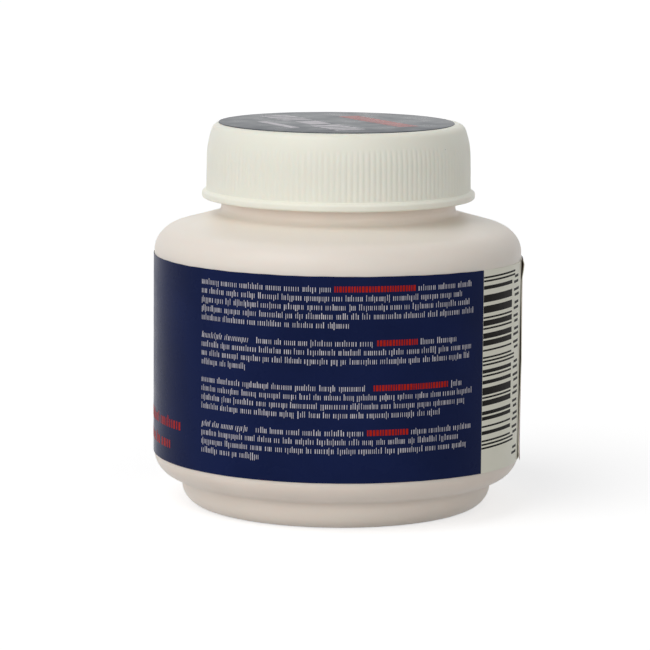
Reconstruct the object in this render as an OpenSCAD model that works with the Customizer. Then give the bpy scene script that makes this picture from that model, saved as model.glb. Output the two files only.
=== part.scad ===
// Dip jar for taking off nail polish: a squat blown jar with a wrap label, a ribbed screw cap
// with a round label on top, and inside the neck a basket of soft brushes round a finger well.
// Millimetres. Origin at the centre of the foot, on the standing plane. +Z up, front towards -Y.

/* [Jar] */
// Outer diameter of the upright wall that carries the label
jar_d = 64.7; // [53.5:0.1:90]
// Height of the neck's rim above the standing plane
jar_h = 64; // [53:0.5:90]
// Wall thickness of the blown shell
jar_wall = 1.3; // [0.9:0.1:1.6]
// Outer diameter of the neck
neck_d = 41.2; // [40:0.2:50]
// Height of the straight neck, from the fillet at its root to the rim
finish_h = 11; // [9:0.5:14]
// Slope of the shoulder, in degrees
shoulder_slope = 15.5; // [8:0.5:25]
// Radius that turns the upright wall into the shoulder
shoulder_r = 4.9; // [3:0.1:7]
// Radius of the fillet at the neck's root
neck_fillet = 1.7; // [1:0.1:2.5]
// Height at which the upright wall begins
heel_z = 9.4; // [8.6:0.1:14]
// Radius that turns the upright wall into the heel
heel_r = 4.3; // [3.5:0.1:5]
// Radius of the hollow between heel and foot
waist_r = 1.5; // [1:0.1:2]
// Distance from the upright wall in to the foot's outside
foot_in = 4.95; // [4.6:0.05:5.4]
// Radius of the foot's lower edge
foot_round = 3.6; // [2.4:0.1:3.6]
// Height of the pushed-up middle of the base
base_push = 1.6; // [0.8:0.1:2.4]
// Width of the slope that leads up to it
push_run = 2.4; // [1.2:0.1:4]
// Width of the flat ring that the jar stands on
stand_w = 1.8; // [1:0.1:4]

/* [Labels] */
// Thickness of the printed film
label_t = 0.12; // [0.08:0.01:0.2]
// Glue between the wrap label and the wall
label_glue = 0.03; // [0.02:0.01:0.05]
// Bare strip of wall left above and below the wrap label
label_margin = 0.1; // [0:0.1:3]
// Direction of the label's free end, in degrees from the front towards +X
seam_angle = 83; // [60:1:180]
// Length by which one end of the wrap label lies over the other
seam_lap = 5; // [3:0.5:8]
// Bare rim round the cap's label
cap_label_margin = 0.1; // [0:0.1:3]

/* [Cap] */
// Wall thickness of the skirt at its lower end
cap_wall = 1.6; // [1.2:0.1:2.4]
// Gap between the cap's lower end and the fillet at the neck's root
skirt_gap = 1.42; // [0.6:0.02:3]
// Thickness of the cap's top
cap_top = 1.4; // [1:0.1:2]
// Height of the smooth bead at the mouth
bead_h = 1.55; // [1:0.05:2.5]
// Reach of the bead beyond the skirt
bead_out = 0.75; // [0.4:0.05:1.2]
// Radius of the bead's lower edge
bead_foot_r = 0.3; // [0.1:0.05:0.5]
// Radius of the bead's upper edge
bead_head_r = 0.5; // [0.2:0.05:0.7]
// Inward lean of the skirt, in degrees
cap_draft = 1; // [0:0.25:2]
// Radius of the long curve that draws in the upper skirt
crown_r = 15; // [8:0.5:20]
// Lean that the long curve reaches at its upper end, in degrees
crown_angle = 20; // [8:1:30]
// Radius of the cap's top edge
cap_edge_r = 1.5; // [0.8:0.1:2]
// Number of grip ribs round the skirt
rib_count = 146; // [60:2:180]
// Depth of the grooves between the ribs
rib_depth = 0.25; // [0.1:0.05:0.35]
// Share of the pitch that a groove takes
groove_share = 0.55; // [0.3:0.05:0.7]
// Distance below the top at which the grooves run out
rib_stop = 2.2; // [1.6:0.1:5]
// Gap between the neck and the cap's inner wall, which the threads fill
thread_gap = 1.1; // [0.9:0.05:1.3]

/* [Seal and liner] */
// Thickness of the foil seal
seal_t = 0.12; // [0.1:0.01:0.3]
// Distance from the neck's outside to the seal's edge
seal_inset = 0.4; // [0.3:0.1:0.8]
// Thickness of the foamed wad in the cap
liner_t = 1; // [0.6:0.1:1.6]
// Gap between the wad and the cap's inner wall
liner_gap = 0.3; // [0.2:0.05:0.5]

/* [Basket] */
// Diameter of the finger hole
finger_d = 22.6; // [19:0.2:27.2]
// Thickness of the flange that rests on the rim
flange_t = 1; // [0.8:0.1:1.6]
// Distance from the neck's outside to the flange's edge
flange_inset = 0.3; // [0.2:0.1:0.8]
// Depth of the plug that fills the neck's bore
plug_h = 5.2; // [4:0.1:8]
// Gap between the plug and the neck's bore
plug_gap = 0.1; // [0.05:0.05:0.2]
// Wall thickness of the moulding
basket_t = 1.2; // [1:0.1:1.4]
// Fall of the funnel deck from the plug to the finger hole
deck_fall = 1.8; // [1:0.1:3]
// Height of the basket's lower end above the standing plane
basket_z = 9.4; // [8.4:0.1:11]
// Width of the windows that the bristles pass through
window_w = 3.6; // [3:0.1:4]
// Wall round each pocket that holds a brush
pocket_t = 0.8; // [0.6:0.1:0.9]
// Gap between the underside of the deck and the brushes' upper ends
deck_gap = 6.2; // [3:0.1:8]
// Width of the drain slots between the pockets
drain_w = 4.4; // [3:0.1:4.6]
// Height of the lowest drain slot above the basket's lower end
drain_lift = 4.6; // [4.2:0.1:8]
// Distance from the highest drain slot up to the level of the brushes' upper ends
drain_head = 4.3; // [2:0.1:6]
// Height of the web between two slots
drain_web = 3; // [2:0.5:4]
// Number of drain slots above each other
drain_rows = 2; // [1:1:3]
// Number of vent holes in the funnel deck
vent_count = 6; // [3:1:8]
// Diameter of a vent hole
vent_d = 2.4; // [1.6:0.1:2.8]

/* [Basket base] */
// Thickness of the closing disc
base_t = 1.4; // [1:0.1:1.8]
// Height of the ring that plugs into the basket
spigot_h = 3.4; // [2.6:0.1:4]
// Wall thickness of that ring
spigot_t = 1.3; // [1:0.1:1.5]
// Gap between parts that are pushed together
push_gap = 0.08; // [0.05:0.01:0.15]
// Reach of the snap noses
snap_out = 0.5; // [0.3:0.05:0.7]
// Width of a snap nose
snap_w = 3; // [2:0.1:4]
// Height of a snap nose
snap_h = 1; // [0.6:0.1:1.4]
// Height of the snap noses above the disc
snap_lift = 1.4; // [0.8:0.1:1.6]
// Number of weep holes round the disc
weep_count = 12; // [6:1:16]
// Diameter of a weep hole
weep_d = 1.8; // [1:0.1:2.2]

/* [Brushes] */
// Number of upright brushes, each a node of its own
strip_count = 6; // [6]
// Width of a brush's backing bar
bar_w = 4.4; // [4.4:0.1:5]
// Thickness of a brush's backing bar
bar_t = 1.3; // [1.1:0.1:1.4]
// Gap between a bar and its pocket
bar_gap = 0.06; // [0.04:0.01:0.1]
// Height of the lowest row of bristles above the basket's lower end
bristle_lift = 9.6; // [9:0.1:14]
// Distance from one row to the next
row_pitch = 3; // [2.4:0.1:3]
// Least length of bar above the top row
bar_head = 1.8; // [1:0.1:2.5]
// Bristles side by side in a row
row_bristles = 5; // [3:2:5]
// Distance from the axis to the bristles' tips
tip_r = 5.8; // [5:0.1:7]
// Width of the field of bristles at its root
root_w = 2.4; // [1.6:0.1:2.4]
// Width of the field of bristles at the tips
tip_w = 4.6; // [2.4:0.1:4.6]
// Thickness of one bristle tuft
bristle_d = 0.56; // [0.4:0.02:0.6]
// Rise and fall of neighbouring tips
tip_wave = 0.35; // [0:0.05:0.5]
// Gap between the bottom brush's disc and the ring round it, over the weep holes
weep_gap = 2.5; // [2:0.1:3.5]
// Thickness of the bottom brush's disc
tip_back_t = 1.4; // [1:0.1:2]
// Bare rim round the bottom brush's bristles
tip_rim = 1.2; // [0.8:0.1:2]
// Diameter of the stud that holds the bottom brush
stud_d = 4; // [3:0.1:5]
// Length of the bottom brush's bristles at the middle
tip_brush_h = 4.6; // [3:0.1:5]
// Extra length of its outermost bristles
tip_brush_cup = 1.4; // [0:0.1:2]
// Rings of bristles on the bottom brush
tip_rings = 4; // [2:1:4]
// Bristles that each ring has more than the one inside it
ring_step = 6; // [4:1:6]

/* [Hidden] */

// Overshoot of cutting shapes, and the overlap of shapes that fuse
eps = 0.4;
// Steps of one drawn arc
arc_steps = 8;
// Steps of the long curve of the cap, which the grooves cut across
crown_steps = 5;
// Steps of the bead's small edges
bead_steps = 5;

// Jar
panel_r = jar_d / 2;
neck_r = neck_d / 2;
foot_r = panel_r - foot_in;
bore_r = neck_r - jar_wall;
stand_r = foot_r - foot_round;
ring_in_r = stand_r - stand_w;
push_r = ring_in_r - push_run;
// The hollow of the waist touches the heel's arc from outside
heel_dx = foot_r + waist_r - (panel_r - heel_r);
waist_z = heel_z - sqrt(pow(heel_r + waist_r, 2) - pow(heel_dx, 2));
heel_turn = atan2(waist_z - heel_z, heel_dx);
// The shoulder's slope touches the arc above the panel and the fillet at the neck
fillet_z = jar_h - finish_h;
round_sum = shoulder_r + neck_fillet;
slope_run = (panel_r - shoulder_r + round_sum * sin(shoulder_slope) - neck_r - neck_fillet)
            / cos(shoulder_slope);
shoulder_z = fillet_z - round_sum * cos(shoulder_slope) - slope_run * sin(shoulder_slope);

// Labels
label_in_r = panel_r + label_glue;
label_out_r = label_in_r + label_t;
label_z0 = heel_z + label_margin;
label_z1 = shoulder_z - label_margin;
seam_turn = seam_lap / label_out_r * 180 / PI;

// Closure, stacked on the neck's rim
flange_z = jar_h + flange_t;
liner_z = flange_z + seal_t;
cap_ceiling = liner_z + liner_t;
cap_z1 = cap_ceiling + cap_top;
cap_z0 = fillet_z + skirt_gap;
cap_bore_r = neck_r + thread_gap;
skirt_r = cap_bore_r + cap_wall;
bead_r = skirt_r + bead_out;
bead_z1 = cap_z0 + bead_h;
// The long curve starts where its normal has the skirt's lean
crown_z = cap_z1 - cap_edge_r - (crown_r - cap_edge_r) * sin(crown_angle);
crown_start_z = crown_z + crown_r * sin(cap_draft);
crown_start_r = skirt_r - (crown_start_z - bead_z1) * tan(cap_draft);
crown_x = crown_start_r - crown_r * cos(cap_draft);
cap_flat_r = crown_x + (crown_r - cap_edge_r) * cos(crown_angle);
rib_top_z = cap_z1 - rib_stop;
rib_top_r = crown_x + sqrt(pow(crown_r, 2) - pow(rib_top_z - crown_z, 2));
groove_angle = 360 / rib_count * groove_share;

// Basket
plug_r = bore_r - plug_gap;
plug_z = jar_h - plug_h;
finger_r = finger_d / 2;
tube_r = finger_r + basket_t;
bar_in_r = tube_r + bar_gap;
bar_out_r = bar_in_r + bar_t;
pocket_out_r = bar_out_r + bar_gap;
lobe_r = pocket_out_r + pocket_t;
deck_z = plug_z + basket_t;
lip_r = basket_t / 2;
strip_pitch = 360 / strip_count;
pocket_w = bar_w + 2 * bar_gap;
bar_z0 = basket_z + bar_gap;
bar_z1 = plug_z - deck_fall - deck_gap;
pocket_z1 = bar_z1 + bar_gap;
bristle_z = basket_z + bristle_lift;
strip_rows = floor((bar_z1 - bar_head - bristle_z) / row_pitch) + 1;
drain_z = basket_z + drain_lift;
drain_pitch = (bar_z1 - drain_head - drain_z + drain_web) / drain_rows;
drain_h = drain_pitch - drain_web;
vent_r = (plug_r - basket_t + tube_r) / 2;

// Basket base and the brush on it
base_z = basket_z - base_t;
spigot_r = finger_r - push_gap;
spigot_in_r = spigot_r - spigot_t;
snap_z = basket_z + snap_lift;
tip_brush_r = spigot_in_r - weep_gap;
weep_r = spigot_in_r - weep_gap / 2;
tip_field_r = tip_brush_r - tip_rim;

// Direction of brush i, or of the drain slots halfway to the next one
function strip_angle(i) = strip_pitch * (i - 0.5);

// Points of an arc round c, from angle a0 to a1
function arc(c, r, a0, a1, n = arc_steps) =
    [for (i = [0:n]) let (a = a0 + (a1 - a0) * i / n) [c[0] + r * cos(a), c[1] + r * sin(a)]];

// The jar's side from the foot to the neck, moved inwards by inset
function jar_side(inset) = concat(
    arc([stand_r, foot_round], foot_round - inset, -90, 0),
    arc([foot_r + waist_r, waist_z], waist_r + inset, 180, 180 + heel_turn),
    arc([panel_r - heel_r, heel_z], heel_r - inset, heel_turn, 0),
    arc([panel_r - shoulder_r, shoulder_z], shoulder_r - inset, 0, 90 - shoulder_slope),
    arc([neck_r + neck_fillet, fillet_z], neck_fillet + inset, 270 - shoulder_slope, 180)
);

module jar_outline(inset, top) {
    polygon(concat(
        [[0, base_push + inset], [push_r, base_push + inset], [ring_in_r, inset]],
        jar_side(inset),
        [[neck_r - inset, top], [0, top]]
    ));
}

module jar_body() {
    color([0.93, 0.90, 0.87])
    difference() {
        rotate_extrude() jar_outline(0, jar_h);
        rotate_extrude() jar_outline(jar_wall, jar_h + eps);
    }
}

module label_layer(r0, r1) {
    translate([r0, label_z0]) square([r1 - r0, label_z1 - label_z0]);
}

// The lapped end starts inside the film below it, so that the two make one piece
module body_label() {
    color([0.09, 0.11, 0.27])
    rotate([0, 0, seam_angle - 90]) {
        rotate([0, 0, 180]) rotate_extrude() label_layer(label_in_r, label_out_r);
        rotate_extrude(angle = seam_turn)
            label_layer(label_out_r - label_t / 2, label_out_r + label_t);
    }
}

// Half section of the basket's outside: flange, plug, underside of the deck, tube
module basket_outside() {
    polygon([[0, flange_z], [neck_r - flange_inset, flange_z], [neck_r - flange_inset, jar_h],
             [plug_r, jar_h], [plug_r, plug_z + basket_t / 2], [plug_r - basket_t / 2, plug_z],
             [tube_r, plug_z - deck_fall], [tube_r, basket_z - eps], [0, basket_z - eps]]);
}

// Half section of the space inside it: finger hole, rounded lip, funnel deck, mouth
module basket_inside() {
    polygon(concat(
        [[0, basket_z - 2 * eps], [finger_r, basket_z - 2 * eps]],
        arc([finger_r + lip_r, deck_z - deck_fall], lip_r, 180, 0),
        [[plug_r - basket_t, deck_z], [plug_r - basket_t, flange_z + eps], [0, flange_z + eps]]
    ));
}

// A box whose faces square to the radius lie at r0 and r1, turned to the angle a
module radial_box(a, r0, r1, w, z0, z1) {
    rotate([0, 0, a]) translate([r0, -w / 2, z0]) cube([r1 - r0, w, z1 - z0]);
}

module dip_basket() {
    color([0.86, 0.89, 0.92])
    difference() {
        union() {
            rotate_extrude() basket_outside();
            for (i = [1:strip_count])
                radial_box(strip_angle(i), finger_r / 2, lobe_r,
                           pocket_w + 2 * pocket_t, basket_z - eps, pocket_z1 + pocket_t);
        }
        // Trims tube and pockets to one flat lower end
        translate([0, 0, basket_z - 2 * eps]) cylinder(h = 2 * eps, r = lobe_r + basket_t);
        rotate([0, 0, strip_pitch / 4]) rotate_extrude() basket_inside();
        for (i = [1:strip_count]) {
            radial_box(strip_angle(i), tube_r, pocket_out_r, pocket_w,
                       basket_z - 2 * eps, pocket_z1);
            radial_box(strip_angle(i), finger_r - eps, tube_r + eps, window_w,
                       basket_z - 2 * eps, pocket_z1);
            for (k = [0:drain_rows - 1])
                radial_box(strip_angle(i + 0.5), finger_r - eps, tube_r + eps, drain_w,
                           drain_z + k * drain_pitch, drain_z + k * drain_pitch + drain_h);
        }
        for (i = [1:2:strip_count])
            radial_box(strip_angle(i + 0.5), finger_r - eps, tube_r + eps, snap_w + 2 * push_gap,
                       snap_z - push_gap, snap_z + snap_h + push_gap);
        for (i = [0:vent_count - 1])
            rotate([0, 0, 360 / vent_count * i])
                translate([vent_r, 0, plug_z - deck_fall - eps])
                    cylinder(h = deck_fall + 2 * basket_t + 2 * eps, d = vent_d, $fn = 24);
    }
}

module basket_base() {
    color([0.86, 0.89, 0.92])
    difference() {
        union() {
            translate([0, 0, base_z]) cylinder(h = base_t, r = lobe_r, $fn = 96);
            translate([0, 0, basket_z - eps])
                cylinder(h = spigot_h + eps, r = spigot_r, $fn = 96);
            for (i = [1:2:strip_count])
                radial_box(strip_angle(i + 0.5), spigot_in_r + eps, spigot_r + snap_out,
                           snap_w, snap_z, snap_z + snap_h);
        }
        translate([0, 0, basket_z])
            cylinder(h = spigot_h + eps, r = spigot_in_r, $fn = 96);
        translate([0, 0, base_z - eps])
            cylinder(h = base_t + 2 * eps, d = stud_d + 2 * push_gap, $fn = 48);
        for (i = [0:weep_count - 1])
            rotate([0, 0, 360 / weep_count * i])
                translate([weep_r, 0, base_z - eps])
                    cylinder(h = base_t + 2 * eps, d = weep_d, $fn = 24);
    }
}

// One three-sided bristle tuft from point a to point b
module bristle(a, b) {
    v = b - a;
    translate(a)
        rotate([0, acos(v[2] / norm(v)), atan2(v[1], v[0])])
            cylinder(h = norm(v), d = bristle_d, $fn = 3);
}

// An upright brush: a backing bar with rows of bristles that fan out towards the finger well
module brush_strip(i) {
    half = (row_bristles - 1) / 2;
    root_r = bar_in_r + bar_t / 2;
    color([0.97, 0.97, 0.95])
    rotate([0, 0, strip_angle(i)]) {
        translate([bar_in_r, -bar_w / 2, bar_z0]) cube([bar_t, bar_w, bar_z1 - bar_z0]);
        for (row = [0:strip_rows - 1], k = [-half:half]) {
            z = bristle_z + row * row_pitch;
            wave = tip_wave * (abs(k) % 2 == 0 ? 1 : -1);
            bristle([root_r, k / half * root_w / 2, z], [tip_r, k / half * tip_w / 2, z + wave]);
        }
    }
}

// The bottom brush: a disc with a stud below and rings of bristles that form a cup above
module tip_brush() {
    back_z = basket_z + tip_back_t;
    color([0.97, 0.97, 0.95]) {
        translate([0, 0, basket_z]) cylinder(h = tip_back_t, r = tip_brush_r, $fn = 72);
        translate([0, 0, base_z]) cylinder(h = base_t + eps, d = stud_d, $fn = 48);
        for (ring = [1:tip_rings], k = [1:ring_step * ring]) {
            share = ring / tip_rings;
            r = tip_field_r * share;
            a = 360 / (ring_step * ring) * (k + ring / 4);
            h = tip_brush_h + tip_brush_cup * share * share;
            bristle([r * cos(a), r * sin(a), back_z - tip_back_t / 2],
                    [r * cos(a), r * sin(a), back_z + h]);
        }
    }
}

module seal_foil() {
    color([0.80, 0.81, 0.83])
    translate([0, 0, flange_z]) cylinder(h = seal_t, r = neck_r - seal_inset, $fn = 96);
}

module liner_wad() {
    color([0.95, 0.95, 0.96])
    translate([0, 0, liner_z]) cylinder(h = liner_t, r = cap_bore_r - liner_gap, $fn = 96);
}

// Half section of the cap with a smooth skirt
module cap_section() {
    polygon(concat(
        [[0, cap_ceiling], [cap_bore_r, cap_ceiling], [cap_bore_r, cap_z0]],
        arc([bead_r - bead_foot_r, cap_z0 + bead_foot_r], bead_foot_r, -90, 0, bead_steps),
        arc([bead_r - bead_head_r, bead_z1 - bead_head_r], bead_head_r, 0, 90, bead_steps),
        [[skirt_r, bead_z1]],
        arc([crown_x, crown_z], crown_r, cap_draft, crown_angle, crown_steps),
        arc([cap_flat_r, cap_z1 - cap_edge_r], cap_edge_r, crown_angle, 90),
        [[0, cap_z1]]
    ));
}

// One groove between two ribs: its floor is straight and meets the crown's curve at the top
module grip_groove() {
    rotate_extrude(angle = groove_angle)
        polygon([[skirt_r - rib_depth, bead_z1], [bead_r, bead_z1],
                 [bead_r, rib_top_z], [rib_top_r, rib_top_z]]);
}

module cap_shell() {
    color([0.92, 0.92, 0.87])
    difference() {
        rotate_extrude() cap_section();
        for (i = [0:rib_count - 1])
            rotate([0, 0, 360 / rib_count * i]) grip_groove();
    }
}

module cap_label() {
    color([0.09, 0.11, 0.27])
    translate([0, 0, cap_z1]) cylinder(h = label_t, r = cap_flat_r - cap_label_margin, $fn = 96);
}

jar_body();
body_label();
dip_basket();
basket_base();
for (i = [1:strip_count])
    brush_strip(i);
tip_brush();
seal_foil();
liner_wad();
cap_shell();
cap_label();
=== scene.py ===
"""Looks of the dip jar: a squat white jar with a wrap label, a ribbed screw cap with a round label,
and inside it a basket of soft brushes. Lengths are millimetres until a mesh is written, in metres.
Angles round the jar are degrees from the front, -Y, towards +X."""

import math
import random

import bmesh
import bpy
import numpy as np
from mathutils import Matrix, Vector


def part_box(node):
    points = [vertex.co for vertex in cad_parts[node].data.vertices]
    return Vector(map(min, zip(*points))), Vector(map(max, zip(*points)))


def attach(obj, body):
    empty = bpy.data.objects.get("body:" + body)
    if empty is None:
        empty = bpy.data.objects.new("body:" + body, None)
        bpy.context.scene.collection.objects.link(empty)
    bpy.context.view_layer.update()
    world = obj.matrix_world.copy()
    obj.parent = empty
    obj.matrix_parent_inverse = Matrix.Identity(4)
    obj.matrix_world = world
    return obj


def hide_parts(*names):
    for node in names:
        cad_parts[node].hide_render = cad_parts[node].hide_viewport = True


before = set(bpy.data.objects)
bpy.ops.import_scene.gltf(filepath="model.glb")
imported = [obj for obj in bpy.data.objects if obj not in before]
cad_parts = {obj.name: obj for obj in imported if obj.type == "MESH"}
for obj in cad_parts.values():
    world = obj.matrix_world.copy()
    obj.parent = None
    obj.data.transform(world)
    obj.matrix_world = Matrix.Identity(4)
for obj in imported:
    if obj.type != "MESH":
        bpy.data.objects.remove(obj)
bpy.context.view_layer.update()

MM = 0.001


def top(node):
    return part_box(node)[1].z / MM


def bottom(node):
    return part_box(node)[0].z / MM


# Jar
WALL = 1.3
JAR_R = 32.35
JAR_H = top("jar_body")
NECK_R = 20.6
NECK_ROOT_Z = JAR_H - 11.15
NECK_FILLET = 1.3
RIM_ROUND = 0.35
SHOULDER_SLOPE = 15.5
SHOULDER_ROUND = 4.9
HEEL_Z = 9.4
HEEL_ROUND = 4.3
WAIST_ROUND = 1.5
FOOT_R = JAR_R - 4.95
FOOT_ROUND = 3.6
STAND_W = 1.8
STAND_ROUND = 0.8
BASE_PUSH = 1.6
BASE_FLAT_R = 14
PUSH_RUN = 2.4
PUSH_ROUND = 1.2

# Mould lines: the parting line's width is in degrees
PARTING_H = 0.045
PARTING_W = 0.32
PINCH_DEPTH = 0.16
PINCH_W = 0.35
PINCH_R = 13

# Wrap label. SEAM, SAG_REACH, the slants and PANEL_START are degrees
FILM = 0.12
LABEL_R = JAR_R + 0.03 + FILM
DEGREE = math.radians(1) * LABEL_R
LABEL_Z0 = bottom("body_label")
LABEL_Z1 = top("body_label")
LABEL_DROP = 0.15
LABEL_TRIM = 0.05
EDGE_WAVE = 0.03
SEAM = 83
SEAM_LAP = 5
LAP_GAP = 0.005
LAP_EASE = 1.5
BORDER = 1.7
PANEL_START = 50.2
SAG_REACH = 40
SAG_LOW, SAG_HIGH = 0.6, 0.5
SLANT_TOP, SLANT_MORE = 1.3, 2.4
SLANT_RUN = 3
LIFT_RUN = 1.8
LIFT_ALL, LIFT_CORNER, LIFT_MIDDLE, LIFT_FOOT = 0.10, 0.42, 0.22, 0.12

# Ink patches: their height, how far they reach into the film, and the step in which they follow its curve
INK_H = 0.014
INK_SUNK = 0.03
INK_STEP = 1.0

# Stand-in print: strokes and gaps in heights of a short stroke
STROKE_WIDTHS = (0.13, 0.13, 0.20)
STROKE_GAPS = (0.22, 0.32, 0.32, 0.42)
WORD_LENGTHS = (1.2, 6.5)
WORD_GAP = 0.5
DEEP, DEEP_SHARE = -0.33, 0.10
TALL, TALL_SHARE = 1.38, 0.17
HEAVY_WIDTHS = (0.24, 0.30, 0.42)
HEAVY_GAP = 0.17

# Paragraphs on the wrap label; PRINT_LEFT and PRINT_RIGHT are degrees. Each has its lines, the share of the
# last line that is filled, where its red words start and end along the first, and whether it starts leaning
PRINT_LEFT, PRINT_RIGHT = -45.2, 47
PRINT_Z = 41.95
PRINT_PITCH = 1.53
PRINT_SIZE = 0.76
RED_SIZE = 1.0
RED_GAP = 0.5
LEANING_RUN, LEANING_ROOM = 11, 11.6
PARAGRAPHS = ((5, 0.55, 0.48, 0.75, False), (4, 0.21, 0.62, 0.76, True),
              (4, 0.87, 0.61, 0.88, False), (4, 0.25, 0.59, 0.73, True))

# Bars and blocks on the white panel; left and right are degrees
BARS_LEFT, BARS_RIGHT, GUARDS_RIGHT = 50.3, 68.7, 71.6
BARS_Z0, BARS_Z1 = 13.2, 43.2
BAR_MODULE = 0.315
BLOCKS = 13
BLOCKS_LEFT, BLOCKS_RIGHT = 70.6, 75.9
BLOCK_PITCH = 2.3
BLOCK_PART = 0.95
BLOCK_H = 0.45

# Print on the label's front: its middle in degrees, and for each red line its start and longest end in
# millimetres from the middle, its height, and the degree at which it ends
FRONT_MIDDLE = 199
FRONT_LEFT = -24
FRONT_RED = ((24, 59, 15.6, 304), (18, 55, 11.9, 297.4))
FRONT_RED_SIZE = 1.45

# Cap
CAP_Z0 = bottom("cap_shell")
CAP_Z1 = top("cap_shell")
CAP_CEILING = top("liner_wad")
CAP_BORE_R = NECK_R + 1.1
SKIRT_R = CAP_BORE_R + 1.6
BEAD_R = SKIRT_R + 0.75
BEAD_Z1 = CAP_Z0 + 1.4
CAP_DRAFT = 1
CROWN_ROUND = 15
CROWN_ANGLE = 20
CAP_EDGE_ROUND = 1.5
RIBS = 146
RIB_DEPTH = 0.055
RIB_STOP_Z = CAP_Z1 - 2.2
RIB_FADE = 1.5
GROOVE_SHARE = 0.62
GROOVE_FLANK = 0.24
GROOVE_FILL = 0.12

# Round label on the cap. Words are (from, to, low edge, height), patches (from, to, low, high, lean)
TOP_LABEL_OFF = -0.42
TOP_LABEL_MARGIN = 0.15
TOP_PRINT_TURN = -62
TOP_WORDS = ((-16, -5.5, -7.2, 5.6), (4.5, 16, -7.6, 5.6))
TOP_PATCHES = [(-6, 7, -12.6, -10.9, 0), (-3.5, 2.5, -6.4, -2.4, 0)]
TOP_RED_WORD = (-9.5, 13.5, 5.4, 4.0)

# Screw thread, right-handed, six turns to the inch. turns, first and THREAD_END are in turns
THREAD_PITCH = 25.4 / 6
THREAD_END = 0.08
NECK_THREAD_Z = 57.2
NECK_THREAD = {"turns": 1.2, "height": 0.7, "foot": 2.4, "crest": 1.0}
CAP_THREAD = {"turns": 1.3, "height": 0.8, "foot": 2.0, "crest": 0.9, "first": 0.12}

# Seal and wad
FOIL_SLACK = 0.10
FOIL_CREASE = 0.07
WAD_R = 21.4
WAD_DENT = 0.06

# Insert
BASKET_Z = top("basket_base") - 3.4
BAR_R = 12.56
BAR_T = 1.3
BAR_W = 4.4
BAR_Z0 = bottom("brush_strip_1")
BAR_Z1 = top("brush_strip_1")
BRISTLE_R = 0.075
BRISTLE_Z = BASKET_Z + 9.6
BRISTLE_ROWS = 11
BRISTLE_PITCH = 3
BRISTLE_TIP_R = 5.8
BRISTLE_ROOT_W = 2.4
BRISTLE_TIP_W = 4.6
TUFT_R = 0.24
TUFT_BRISTLES = 8
TIP_BRUSH_R = 7.42
TIP_BACK_Z = BASKET_Z + 1.4
TIP_RINGS = 4
STUD_R = 2

# Stage: the floor's reach and the camera's place are metres, its turns radians
WORLD_LIGHT = 0.3
FLOOR_REACH = 6
FLOOR_GLOW = 0.65
FLOOR_GREY = 0.6
SUN_WIDTH = 40
CAMERA_PLACE = (0, -0.60106, 0.12118)
CAMERA_PITCH, CAMERA_YAW, CAMERA_ROLL = 0.148, -0.0036, 0.0085
CAMERA_LENS = 189.92


# Outlines

def arc(centre, radius, start, end, steps=14):
    """Points of an arc round centre, from start to end degrees."""
    turns = np.radians(np.linspace(start, end, steps + 1))
    return [(centre[0] + radius * math.cos(a), centre[1] + radius * math.sin(a)) for a in turns]


def line(a, b, steps):
    """Points from a to b, both ends left out."""
    return [(a[0] + (b[0] - a[0]) * i / steps, a[1] + (b[1] - a[1]) * i / steps) for i in range(1, steps)]


def soften(corners, steps=5):
    """An outline through corners (r, z, rounding); the first and the last stay as they are."""
    points = [corners[0][:2]]
    for before, (x, z, rounding), after in zip(corners, corners[1:], corners[2:]):
        if not rounding:
            points.append((x, z))
            continue
        p = np.array((x, z))
        back, ahead = np.array(before[:2]) - p, np.array(after[:2]) - p
        back, ahead = back / np.linalg.norm(back), ahead / np.linalg.norm(ahead)
        half = math.acos(max(-1, min(1, float(back @ ahead)))) / 2
        reach = rounding / math.tan(half)
        centre = p + (back + ahead) / np.linalg.norm(back + ahead) * rounding / math.sin(half)
        first, last = p + back * reach - centre, p + ahead * reach - centre
        for i in range(steps + 1):
            v = first * (steps - i) + last * i
            points.append(tuple(centre + v / np.linalg.norm(v) * rounding))
    return points + [corners[-1][:2]]


# Meshes

def smoothstep(x):
    x = np.clip(x, 0, 1)
    return x * x * (3 - 2 * x)


def ring(r, z, angles):
    """Points of one ring; r and z may differ from angle to angle."""
    a = np.radians(angles)
    return np.stack([r * np.sin(a), -r * np.cos(a), z + 0 * a], -1)


def skin(rings):
    """Points and faces of a surface through rings of points. A ring may have a whole multiple of its
    neighbour's points, and a ring of one point is a pole."""
    faces, start = [], 0
    for lower, upper in zip(rings, rings[1:]):
        n, m, second = len(lower), len(upper), start + len(lower)
        if n == m:
            faces += [(start + i, start + (i + 1) % n, second + (i + 1) % n, second + i) for i in range(n)]
        else:
            few, many = (n, m) if n < m else (m, n)
            few_start, many_start = (start, second) if n < m else (second, start)
            share = many // few
            for j in range(few):
                hub, next_hub = few_start + j, few_start + (j + 1) % few
                spokes = [many_start + (j * share + i) % many for i in range(share + 1)]
                middle = share // 2
                for i, (a, b) in enumerate(zip(spokes, spokes[1:])):
                    faces.append((hub if i < middle or few == 1 else next_hub, a, b))
                if few > 1:
                    faces.append((hub, spokes[middle], next_hub))
        start = second
    return np.concatenate(rings), faces


def add_object(name, data):
    obj = bpy.data.objects.new(name, data)
    bpy.context.scene.collection.objects.link(obj)
    return obj


def add_mesh(name, points, faces, materials, chosen=None, sharp=38):
    """A smooth mesh object from points in millimetres, with its normals outwards."""
    mesh = bpy.data.meshes.new(name)
    mesh.from_pydata((np.asarray(points, float) * MM).tolist(), [], [list(map(int, f)) for f in faces])
    for material in materials:
        mesh.materials.append(material)
    if chosen is not None:
        mesh.polygons.foreach_set("material_index", chosen)
    grown = bmesh.new()
    grown.from_mesh(mesh)
    bmesh.ops.recalc_face_normals(grown, faces=grown.faces)
    grown.to_mesh(mesh)
    grown.free()
    mesh.shade_smooth()
    mesh.set_sharp_from_angle(angle=math.radians(sharp))
    return add_object(name, mesh)


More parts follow.
